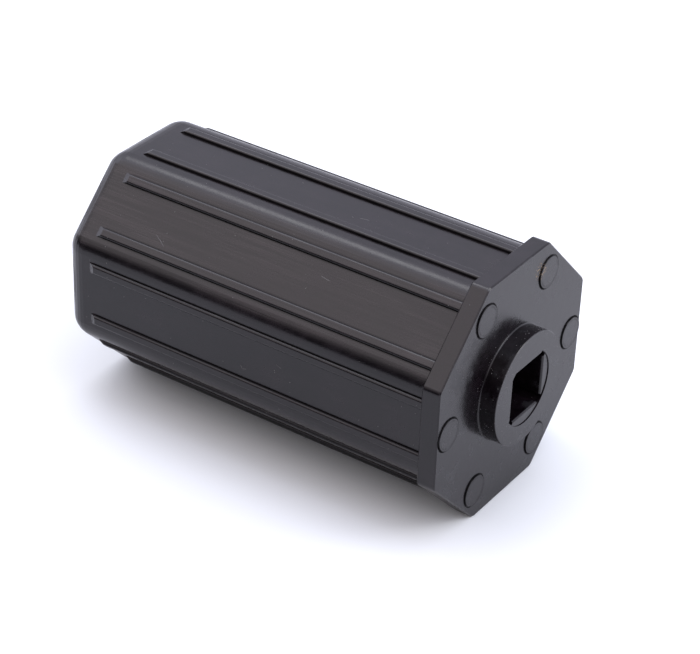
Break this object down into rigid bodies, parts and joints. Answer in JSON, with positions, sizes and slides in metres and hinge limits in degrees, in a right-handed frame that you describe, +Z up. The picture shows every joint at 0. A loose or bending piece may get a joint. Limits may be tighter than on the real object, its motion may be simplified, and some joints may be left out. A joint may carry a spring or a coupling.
{
  "type": "octagonal tube end cap",
  "caption": "Octagonal flanged end cap with a round hub, a square drive socket and a long hollow ribbed barrel that slides into an octagonal tube.",
  "frame": {"origin": "middle of the length and width, on the surface that the cap lies on", "axes": "+X along the cap's axis towards the hub, +Z up, one flat of the flange down"},
  "size_m": [0.1084, 0.06, 0.06],
  "materials": {
    "cap_plastic": "satin, charcoal black, moulded"
  },
  "bodies": {
    "root": {"end_cap": "cap_plastic"}
  },
  "joints": []
}
